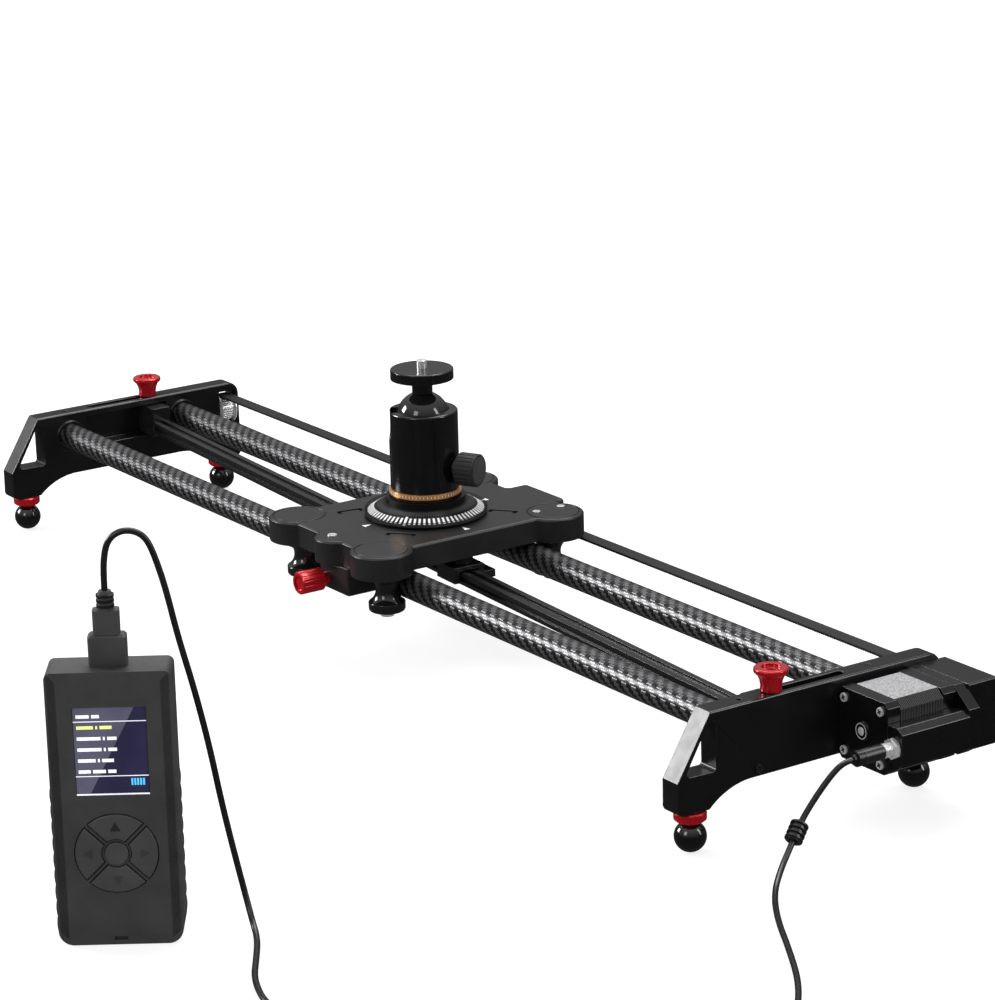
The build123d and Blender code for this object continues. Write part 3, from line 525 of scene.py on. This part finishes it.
# Several meshes as one piece that goes with a CAD node
def addDetail(name, node, meshes, corner=usualCorner):
    build = bmesh.new()
    used = []
    for mesh in meshes:
        before = len(build.faces)
        build.from_mesh(mesh)
        build.faces.ensure_lookup_table()
        finish = mesh.materials[0]
        if finish not in used:
            used.append(finish)
        for face in build.faces[before:]:
            face.material_index = used.index(finish)
            face.smooth = True
        bpy.data.meshes.remove(mesh)
    joined = bpy.data.meshes.new(name)
    build.to_mesh(joined)
    build.free()
    for finish in used:
        joined.materials.append(finish)
    joined.set_sharp_from_angle(angle=math.radians(corner))
    piece = newPiece(name, joined)
    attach(piece, bodyOf[node])
    return piece


def at(x, y, z):
    return Matrix.Translation((x, y, z))


def alongAxis(toward):
    return Vector(toward).to_track_quat("Z", "X").to_matrix().to_4x4()


def middleOf(node):
    low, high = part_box(node)
    return (low + high) / 2


# Graduated dial: white marks on the cone, a knurl above them and fine grooves round the rim
def makeDial():
    dial = {"marks": 72, "markSize": (5.0 * mm, 1.35 * mm, 0.3 * mm), "markRadius": 35.0 * mm,
            "markHeight": 3.95 * mm, "slope": math.atan2(3.8, 6.0),
            "zeroSize": (7.2 * mm, 1.5 * mm, 0.36 * mm), "zeroWay": -0.96,
            "ridges": 120, "ridgeSize": (4.0 * mm, 0.7 * mm, 0.9 * mm), "ridgeRadius": 29.2 * mm,
            "ridgeHeight": 6.6 * mm, "ridgeSlope": math.atan2(1.6, 4.0),
            "rims": 4, "firstRim": 1.2 * mm, "rimPitch": 0.9 * mm, "rimHalf": 0.25 * mm,
            "rimInner": 38.75 * mm, "rimOuter": 39.05 * mm}
    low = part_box("turntable_dial")[0]
    middle = middleOf("turntable_dial")
    onDial = at(middle.x, middle.y, 0)
    markPlace = at(middle.x, middle.y, low.z + dial["markHeight"])
    marks = blockRun("mark_white", markPlace, count=dial["marks"], radius=dial["markRadius"], sweep=fullTurn,
                     size=dial["markSize"], lean=(0, dial["slope"], 0))
    zero = blockRun("mark_white", markPlace, count=1, radius=dial["markRadius"], start=dial["zeroWay"],
                    size=dial["zeroSize"], lean=(0, dial["slope"], 0))
    ridges = blockRun("ridge_grey", at(middle.x, middle.y, low.z + dial["ridgeHeight"]),
                      count=dial["ridges"], radius=dial["ridgeRadius"], sweep=fullTurn,
                      size=dial["ridgeSize"], lean=(0, dial["ridgeSlope"], 0))
    rims = []
    for step in range(dial["rims"]):
        z = low.z + dial["firstRim"] + dial["rimPitch"] * step
        rims.append(lathe("dial_black", onDial, [(dial["rimInner"], z - dial["rimHalf"]),
                    (dial["rimOuter"], z), (dial["rimInner"], z + dial["rimHalf"])], 96))
    addDetail("dial_marks", "turntable_dial", [marks, zero, ridges] + rims)


# Four (radius, height) corners of a ring's section
def band(inner, outer, low, high):
    return [(inner, low), (outer, low), (outer, high), (inner, high)]


# Ring under the head: gold band with white marks, a silver line and a black foot
def makeBaseRing():
    ring = {"radius": 22.9 * mm, "goldLow": 2.4 * mm, "goldHigh": 4.8 * mm, "goldDeep": 0.6 * mm,
            "lineTall": 0.22 * mm, "lineProud": 0.05 * mm, "lineDeep": 0.4 * mm,
            "marks": 60, "markSize": (0.12 * mm, 0.35 * mm, 1.5 * mm),
            "footLow": (0.4 * mm, 0.8 * mm), "footHigh": (0.2 * mm, 0.5 * mm), "footDeep": 1.2 * mm,
            "footProud": 0.1 * mm, "around": 96}
    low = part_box("head_base_ring")[0]
    middle = middleOf("head_base_ring")
    onHead = at(middle.x, middle.y, 0)
    r = ring["radius"]
    goldLow, goldHigh = low.z + ring["goldLow"], low.z + ring["goldHigh"]
    gold = lathe("head_ring", onHead, band(r - ring["goldDeep"], r, goldLow, goldHigh), ring["around"], True)
    line = band(r - ring["lineDeep"], r + ring["lineProud"], goldHigh, goldHigh + ring["lineTall"])
    silver = lathe("bright_steel", onHead, line, ring["around"], True)
    marks = blockRun("mark_white", at(middle.x, middle.y, (goldLow + goldHigh) / 2), count=ring["marks"],
                     radius=r, sweep=fullTurn, size=ring["markSize"])
    inner, outer = r - ring["footDeep"], r + ring["footProud"]
    section = [(inner, low.z + ring["footLow"][0]), (outer, low.z + ring["footLow"][1]),
               (outer, goldLow - ring["footHigh"][1]), (inner, goldLow - ring["footHigh"][0])]
    foot = lathe("dial_black", onHead, section, ring["around"], True)
    addDetail("head_ring_marks", "head_base_ring", [gold, silver, marks, foot])


# White pointers on the carriage, round the dial
def makePointers():
    pointer = {"tip": 41.5 * mm, "tail": 47.1 * mm, "half": 2.1 * mm, "thick": 0.12 * mm, "sunk": 0.02 * mm}
    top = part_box("carriage_plate")[1].z
    centre = middleOf("turntable_dial")
    corners = [(pointer["tip"], 0), (pointer["tail"], -pointer["half"]), (pointer["tail"], pointer["half"])]
    shapes = []
    for quarter in range(4):
        turn = Matrix.Rotation(quarter * math.pi / 2, 4, "Z")
        place = at(centre.x, centre.y, top - pointer["sunk"]) @ turn
        shapes.append(flatShape("mark_white", place, corners, pointer["thick"]))
    addDetail("carriage_pointers", "carriage_plate", shapes)


# Toothed belt: a thin band with teeth on its inner side
def makeBelt():
    belt = {"band": 0.85 * mm, "pitch": 2.0 * mm, "tooth": (1.15 * mm, 9.45 * mm, 0.85 * mm),
            "sunk": 0.05 * mm, "turnSteps": 28}
    low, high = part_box("drive_belt")
    farWheel, nearWheel = middleOf("idler_pulley"), middleOf("drive_pulley")
    farR, nearR = high.z - farWheel.z, high.z - nearWheel.z
    reach = nearWheel - farWheel
    lean = math.atan2(reach.z, reach.x) - math.asin((nearR - farR) / math.hypot(reach.x, reach.z))
    lowWay = lean - math.pi / 2          # from either wheel's centre to where the lower run leaves it

    def loop(inset):
        ways = []
        for wheel, radius, start, end in ((nearWheel, nearR, math.pi / 2, lowWay),
                                          (farWheel, farR, lowWay, -1.5 * math.pi)):
            for step in range(belt["turnSteps"] + 1):
                way = start + (end - start) * step / belt["turnSteps"]
                reachOut = radius - inset
                ways.append((wheel.x + reachOut * math.cos(way), wheel.z + reachOut * math.sin(way)))
        return ways

    build = bmesh.new()
    outer, inner = loop(0.0), loop(belt["band"])
    rows = []
    for y, side in ((low.y, outer), (high.y, outer), (high.y, inner), (low.y, inner)):
        rows.append([build.verts.new((x, y, z)) for x, z in side])
    rows.append(rows[0])
    for first, second in zip(rows, rows[1:]):
        for step in range(len(outer)):
            after = (step + 1) % len(outer)
            build.faces.new((first[step], first[after], second[after], second[step])).smooth = True
    bmesh.ops.recalc_face_normals(build, faces=build.faces)
    strap = bpy.data.meshes.new("strap")
    build.to_mesh(strap)
    build.free()
    strap.materials.append(finishes["belt_rubber"])

    y = (low.y + high.y) / 2
    long, wide, tall = belt["tooth"]
    inside = belt["band"] + tall / 2 - belt["sunk"]
    straight = {"count": int(reach.x / belt["pitch"]), "step": (belt["pitch"], 0, 0), "size": belt["tooth"]}
    runs = [blockRun("belt_rubber", at(farWheel.x, y, high.z - inside), **straight)]
    down = Vector((math.cos(lowWay), 0, math.sin(lowWay)))
    start = Vector((farWheel.x, y, farWheel.z)) + (farR - inside) * down
    slope = Matrix.Rotation(-lean, 4, "Y")
    runs.append(blockRun("belt_rubber", Matrix.Translation(start) @ slope, **straight))
    upright = Matrix.Rotation(math.pi / 2, 4, "X")          # the run's Z becomes -Y: rings stand in XZ
    for wheel, radius, begin, sweep in ((nearWheel, nearR, lowWay, math.pi / 2 - lowWay),
                                        (farWheel, farR, math.pi / 2, lowWay + 1.5 * math.pi)):
        r = radius - inside
        runs.append(blockRun("belt_rubber", at(wheel.x, y, wheel.z) @ upright, radius=r, start=begin,
                             sweep=sweep, count=int(sweep * r / belt["pitch"]), size=(tall, long, wide)))
    piece = addDetail("drive_belt_part", "drive_belt", [strap] + runs)
    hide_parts("drive_belt")
    kept.discard("drive_belt")


# Laminations of the motor's core, on its sides and its cut corners
def makeLaminations():
    core = {"pitch": 1.15 * mm, "rib": 0.55 * mm, "proud": 0.3 * mm, "cut": 5.0 * mm}
    low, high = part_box("motor_core")
    middle = middleOf("motor_core")
    half = (high.z - low.z) / 2
    cornerAway = half * math.sqrt(2) - core["cut"] / math.sqrt(2)
    cornerWide = core["cut"] * math.sqrt(2)
    ribs = []
    for turn, away, wide in ((0, half, 2 * (half - core["cut"])), (45, cornerAway, cornerWide),
                             (-45, cornerAway, cornerWide)):
        start = at(middle.x, low.y + core["pitch"] / 2, middle.z)
        place = start @ Matrix.Rotation(math.radians(-turn), 4, "Y") @ at(away, 0, 0)
        ribs.append(blockRun("ridge_grey", place, count=int((high.y - low.y) / core["pitch"]),
                             step=(0, core["pitch"], 0), size=(2 * core["proud"], core["rib"], wide)))
    addDetail("motor_laminations", "motor_core", ribs)


# Rear end of the motor: shaft, the ring round it and dark crosses on its screws, painted shade where the cross
# recesses are
def makeShaftEnd():
    shaft = {"radius": 2.5 * mm, "chamfer": 0.3 * mm, "proud": 0.5 * mm, "ring": (4.1 * mm, 4.7 * mm),
             "ringProud": 0.15 * mm, "ringDeep": 0.1 * mm}
    screw = {"away": 15.5 * mm, "proud": 0.2 * mm, "slot": (3.4 * mm, 0.8 * mm, 0.12 * mm), "turn": 0.6}
    middle = middleOf("motor_core")
    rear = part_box("motor_end_caps")[0].y
    backward = alongAxis((0, -1, 0))
    facing = at(middle.x, rear, middle.z) @ backward
    end = [(0, shaft["proud"]), (shaft["radius"] - shaft["chamfer"], shaft["proud"]),
           (shaft["radius"], shaft["proud"] - shaft["chamfer"]), (shaft["radius"], -shaft["proud"])]
    ring = band(*shaft["ring"], -shaft["ringDeep"], shaft["ringProud"])
    meshes = [lathe("bright_steel", facing, end, 32), lathe("bright_steel", facing, ring, 40, True)]
    for dx in (-screw["away"], screw["away"]):
        for dz in (-screw["away"], screw["away"]):
            place = at(middle.x + dx, rear - screw["proud"], middle.z + dz) @ backward
            # A thin dark cross on each screw head: painted shade in place of the recess
            meshes.append(blockRun("dark_marks_and_painted_shade", place, count=2, start=screw["turn"], sweep=math.pi,
                                   size=screw["slot"]))
    addDetail("motor_shaft_end", "motor_end_caps", meshes)


# Threaded socket of the cord, with its hexagon nut
def makeSocketThread():
    thread = {"turns": 5, "first": 0.5 * mm, "pitch": 1.0 * mm, "half": 0.4 * mm, "root": 3.75 * mm,
              "crest": 4.15 * mm}
    nut = {"bore": 3.9 * mm, "radius": 6.3 * mm, "chamfer": 0.4 * mm, "long": (2.6 * mm, 0.4 * mm),
           "rim": 1.2 * mm}
    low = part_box("cord_socket")[0]
    centre = middleOf("cord_socket")
    outward = at(centre.x, 0, centre.z) @ alongAxis((0, 1, 0))
    meshes = []
    for step in range(thread["turns"]):
        y = low.y + thread["first"] + thread["pitch"] * step
        ridge = [(thread["root"], y - thread["half"]), (thread["crest"], y),
                 (thread["root"], y + thread["half"])]
        meshes.append(lathe("bright_steel", outward, ridge, 40))
    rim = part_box("motor_end_caps")[0].y + nut["rim"]          # rear face of the motor and of the control box
    start, end = rim - nut["long"][0], rim - nut["long"][1]
    section = [(nut["bore"], start), (nut["radius"] - nut["chamfer"], start),
               (nut["radius"], start + nut["chamfer"]), (nut["radius"], end), (nut["bore"], end)]
    meshes.append(lathe("bright_steel", outward, section, 6, True))
    addDetail("socket_thread", "cord_socket", meshes, 20)


# One rib round a relief: wide at its foot and narrower at its crest
def reliefRib(place, height, rib):
    root, crest = rib["radii"]
    rootHalf, crestHalf = rib["halves"]
    return lathe("cord_rubber", place, [(root, height - rootHalf), (crest, height - crestHalf),
                 (crest, height + crestHalf), (root, height + rootHalf)], 32, True)


# Ribs round the cord's reliefs and the grommet
def makeReliefs():
    plug = {"radii": (3.6 * mm, 4.7 * mm), "halves": (0.9 * mm, 0.7 * mm), "first": 2.6 * mm,
            "pitch": 2.7 * mm, "count": 3}
    motorPlug = {"radii": (4.2 * mm, 4.6 * mm), "halves": (0.35 * mm, 0.2 * mm), "first": 2.4 * mm,
                 "pitch": 1.3 * mm, "count": 4}
    grommet = {"radii": (3.8 * mm, 5.2 * mm), "halves": (1.0 * mm, 0.5 * mm), "first": -4.65 * mm,
               "pitch": 3.1 * mm, "count": 4}
    middle = middleOf("handset_plug")
    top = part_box("handset_plug")[1].z
    ribs = [reliefRib(at(middle.x, middle.y, 0), top - plug["first"] - plug["pitch"] * step, plug)
            for step in range(plug["count"])]
    addDetail("plug_ribs", "handset_plug", ribs)

    middle = middleOf("motor_plug")
    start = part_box("motor_plug")[0].y
    onPlug = at(middle.x, 0, middle.z) @ alongAxis((0, 1, 0))
    ribs = [reliefRib(onPlug, start + motorPlug["first"] + motorPlug["pitch"] * step, motorPlug)
            for step in range(motorPlug["count"])]
    addDetail("motor_plug_ribs", "motor_plug", ribs)

    begin, end = Vector(cordRoute[grommetRun]), Vector(cordRoute[grommetRun + 1])
    onCord = Matrix.Translation((begin + end) / 2) @ alongAxis(end - begin)
    ribs = [reliefRib(onCord, grommet["first"] + grommet["pitch"] * step, grommet)
            for step in range(grommet["count"])]
    addDetail("grommet_ribs", "cord_grommet", ribs)


# The handset: places on it are in its own frame, X across its front face, Y into it and Z up
handset = {"turn": math.radians(55.86), "deep": 25.0 * mm, "screenZ": 107.0 * mm, "keyZ": 51.0 * mm}
intoFace = Matrix.Rotation(math.pi / 2, 4, "X")          # makes Z point out of the front face, and Y up


def handsetFront():
    corners = [corner for node in ("handset_front_shell", "handset_back_shell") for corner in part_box(node)]
    across = [corner.x for corner in corners]
    along = [corner.y for corner in corners]
    middle = at((min(across) + max(across)) / 2, (min(along) + max(along)) / 2, 0)
    own = middle @ Matrix.Rotation(handset["turn"], 4, "Z")
    return own @ at(0, -handset["deep"] / 2, 0)


# Ridged strips down both sides, webs between the keys and the collar round the middle key
def makeHandsetShell():
    strip = {"away": 29.2 * mm, "start": 6.0 * mm, "count": 118, "pitch": 1.2 * mm,
             "size": (5.98 * mm, 0.24 * mm, 0.45 * mm), "lean": 0.75}
    web = {"deep": 1.0 * mm, "radius": 14.65 * mm, "size": (14.5 * mm, 1.5 * mm, 1.9 * mm)}
    collar = {"inner": 6.5 * mm, "outer": 7.5 * mm, "low": -2.0 * mm, "high": -0.05 * mm}
    front = handsetFront()
    strips = []
    for side in (-1, 1):
        place = front @ at(side * strip["away"], 0, strip["start"])
        strips.append(blockRun("dark_marks_and_painted_shade", place, count=strip["count"], step=(0, 0, strip["pitch"]),
                               size=strip["size"], lean=(0, -side * strip["lean"], 0)))
    addDetail("handset_ridges", "handset_front_shell", strips)

    webs = blockRun("handset_rubber", front @ at(0, web["deep"], handset["keyZ"]) @ intoFace, count=4,
                    radius=web["radius"], start=math.pi / 4, sweep=fullTurn, size=web["size"])
    section = band(collar["inner"], collar["outer"], collar["low"], collar["high"])
    ring = lathe("handset_rubber", front @ at(0, 0, handset["keyZ"]) @ intoFace, section, 64, True)
    addDetail("handset_webs", "handset_front_shell", [webs, ring])


# The screen's picture: a lighter patch over its left side that is a painted reflection, rows of plain bars, two
# lines across, a gauge of five bars and a bright lower rim
def makeScreenPicture():
    screen = {"deep": 0.6 * mm, "half": 18.8 * mm, "tall": 23.8 * mm, "film": 0.04 * mm, "lift": 0.03 * mm,
              "glareLow": -12.0 * mm, "glareHigh": 12.8 * mm, "barHalf": 0.9 * mm, "barStart": 1.6 * mm,
              "barGap": 1.2 * mm, "gauge": (9.6, 1.5, 1.0), "gaugeLow": -18.8 * mm, "gaugeHigh": -15.0 * mm,
              "rim": 0.7 * mm, "rimProud": 0.5 * mm}
    rows = ((19.0, "screen_white", (6.8, 4.0)), (13.0, "screen_yellow", (8.6, 1.0, 6.2)),
            (7.0, "screen_white", (12.2, 1.0, 4.8)), (1.0, "screen_white", (12.4, 1.0, 4.6)),
            (-5.0, "screen_white", (9.0, 1.0, 6.0)), (-11.0, "screen_white", (6.2, 6.6, 4.2)))
    glass = handsetFront() @ at(0, screen["deep"], handset["screenZ"]) @ intoFace
    onGlass = glass @ at(0, 0, screen["lift"])
    half, tall, film = screen["half"], screen["tall"], screen["film"]
    # A lighter slanted patch over the left of the glass: a painted reflection, not part of the picture
    picture = [flatShape("screen_painted_glare", glass, [(-half, -tall), (screen["glareLow"], -tall),
                         (screen["glareHigh"], tall), (-half, tall)], film)]
    for height, finish, bars in rows:
        x = -half + screen["barStart"]
        y = height * mm
        for bar in bars:
            corners = rectangle(x, x + bar * mm, y - screen["barHalf"], y + screen["barHalf"])
            picture.append(flatShape(finish, onGlass, corners, film))
            x += bar * mm + screen["barGap"]
    for low, high in ((16.0, 16.45), (-13.8, -13.35)):
        picture.append(flatShape("screen_white", onGlass, rectangle(-half, half, low * mm, high * mm), film))
    first, pitch, wide = (part * mm for part in screen["gauge"])
    for step in range(5):
        x = first + pitch * step
        corners = rectangle(x, x + wide, screen["gaugeLow"], screen["gaugeHigh"])
        picture.append(flatShape("screen_blue", onGlass, corners, film))
    rim = rectangle(-half, half, -tall, -tall + screen["rim"])
    picture.append(flatShape("screen_white", glass, rim, screen["rimProud"]))
    addDetail("screen_picture", "handset_screen", picture)


# A triangle on each key of the ring, pointing outward
def makeKeyMarks():
    mark = {"proud": 0.9 * mm, "away": 14.6 * mm, "sunk": 0.02 * mm, "thick": 0.06 * mm}
    triangle = [(-2.9 * mm, -2.2 * mm), (2.9 * mm, -2.2 * mm), (0, 3.0 * mm)]
    keyFace = handsetFront() @ at(0, -mark["proud"], handset["keyZ"]) @ intoFace
    for node, turn in (("key_up", 0), ("key_left", 90), ("key_down", 180), ("key_right", 270)):
        place = keyFace @ Matrix.Rotation(math.radians(turn), 4, "Z") @ at(0, mark["away"], -mark["sunk"])
        finish = "dark_marks_and_painted_shade" if node == "key_up" else "key_mark"
        addDetail(node + "_mark", node, [flatShape(finish, place, triangle, mark["thick"])])


# Lock knob of the head: a smooth cap on its end
def makeKnobCap():
    cap = {"radius": 8.8 * mm, "thick": 0.5 * mm, "bevel": 0.4 * mm, "deep": 0.3 * mm, "away": 38.8 * mm}
    joint = joints["head_lock_turn"]
    axis = Vector(joint["axis"])
    place = Matrix.Translation(Vector(joint["pos_m"]) + axis * cap["away"]) @ alongAxis(axis)
    profile = [(cap["radius"], -cap["deep"]), (cap["radius"], cap["thick"] * 0.6),
               (cap["radius"] - cap["bevel"], cap["thick"]), (0, cap["thick"])]
    addDetail("head_knob_cap", "head_lock_knob", [lathe("knob_cap", place, profile, 48)])


for make in (makeDial, makeBaseRing, makePointers, makeBelt, makeLaminations, makeShaftEnd, makeSocketThread,
             makeReliefs, makeHandsetShell, makeScreenPicture, makeKeyMarks, makeKnobCap):
    make()
    print(make.__name__, "done")


# Pale paper that lights itself a little, four lamps and a soft sky
def makeStage():
    floor = {"size": 40.0, "drop": 0.4 * mm, "colour": (0.30, 0.30, 0.30), "glow": 0.80}
    mesh = bpy.data.meshes.new("floor")
    half = floor["size"] / 2
    corners = [(-half, -half), (half, -half), (half, half), (-half, half)]
    mesh.from_pydata([(x, y, -floor["drop"]) for x, y in corners], [], [(0, 1, 2, 3)])
    look = {"colour": floor["colour"], "rough": 0.9, "shine": 0.0}
    material, tree, shader = startFinish("floorPaper", look)
    shader.inputs["Emission Color"].default_value = (1, 1, 1, 1)
    shader.inputs["Emission Strength"].default_value = floor["glow"]
    mesh.materials.append(material)
    paper = newPiece("floor", mesh)
    paper.visible_glossy = False          # shiny parts show the lamps and the sky, not the paper

    lamps = {
        "overhead": {"place": (-0.35, 0.55, 1.9), "aim": (0, 0, 0), "size": (2.0, 1.2), "power": 40},
        "key": {"place": (-1.98, -1.74, 1.12), "aim": (0.1, 0, 0.05), "size": (0.75, 0.8), "power": 62},
        "front": {"place": (0.9, -2.2, 1.3), "aim": (0.2, -0.2, 0.1), "size": (0.8, 1.0), "power": 9},
        "right": {"place": (1.9, 1.3, 1.1), "aim": (0.1, 0, 0.1), "size": (0.5, 1.4), "power": 12},
    }
    for name, lamp in lamps.items():
        light = bpy.data.lights.new(name, "AREA")
        light.shape = "RECTANGLE"
        light.size, light.size_y = lamp["size"]
        light.energy = lamp["power"]
        lit = bpy.data.objects.new(name, light)
        lit.location = lamp["place"]
        toward = Vector(lamp["aim"]) - Vector(lamp["place"])
        lit.rotation_euler = toward.to_track_quat("-Z", "Y").to_euler()
        bpy.context.scene.collection.objects.link(lit)

    world = bpy.data.worlds.new("studio")
    world.use_nodes = True
    bpy.context.scene.world = world
    tree = world.node_tree
    way = addNode(tree, "ShaderNodeTexCoord").outputs["Generated"]
    height = addNode(tree, "ShaderNodeSeparateXYZ", {0: way}).outputs["Z"]
    sky = twoTone(tree, height, (0.05, 0.05, 0.052), (0.70, 0.70, 0.70), 0.0, 0.9)
    tree.links.new(sky, tree.nodes["Background"].inputs["Color"])
    bpy.context.scene.view_settings.view_transform = "Standard"


makeStage()
print("stage lit")
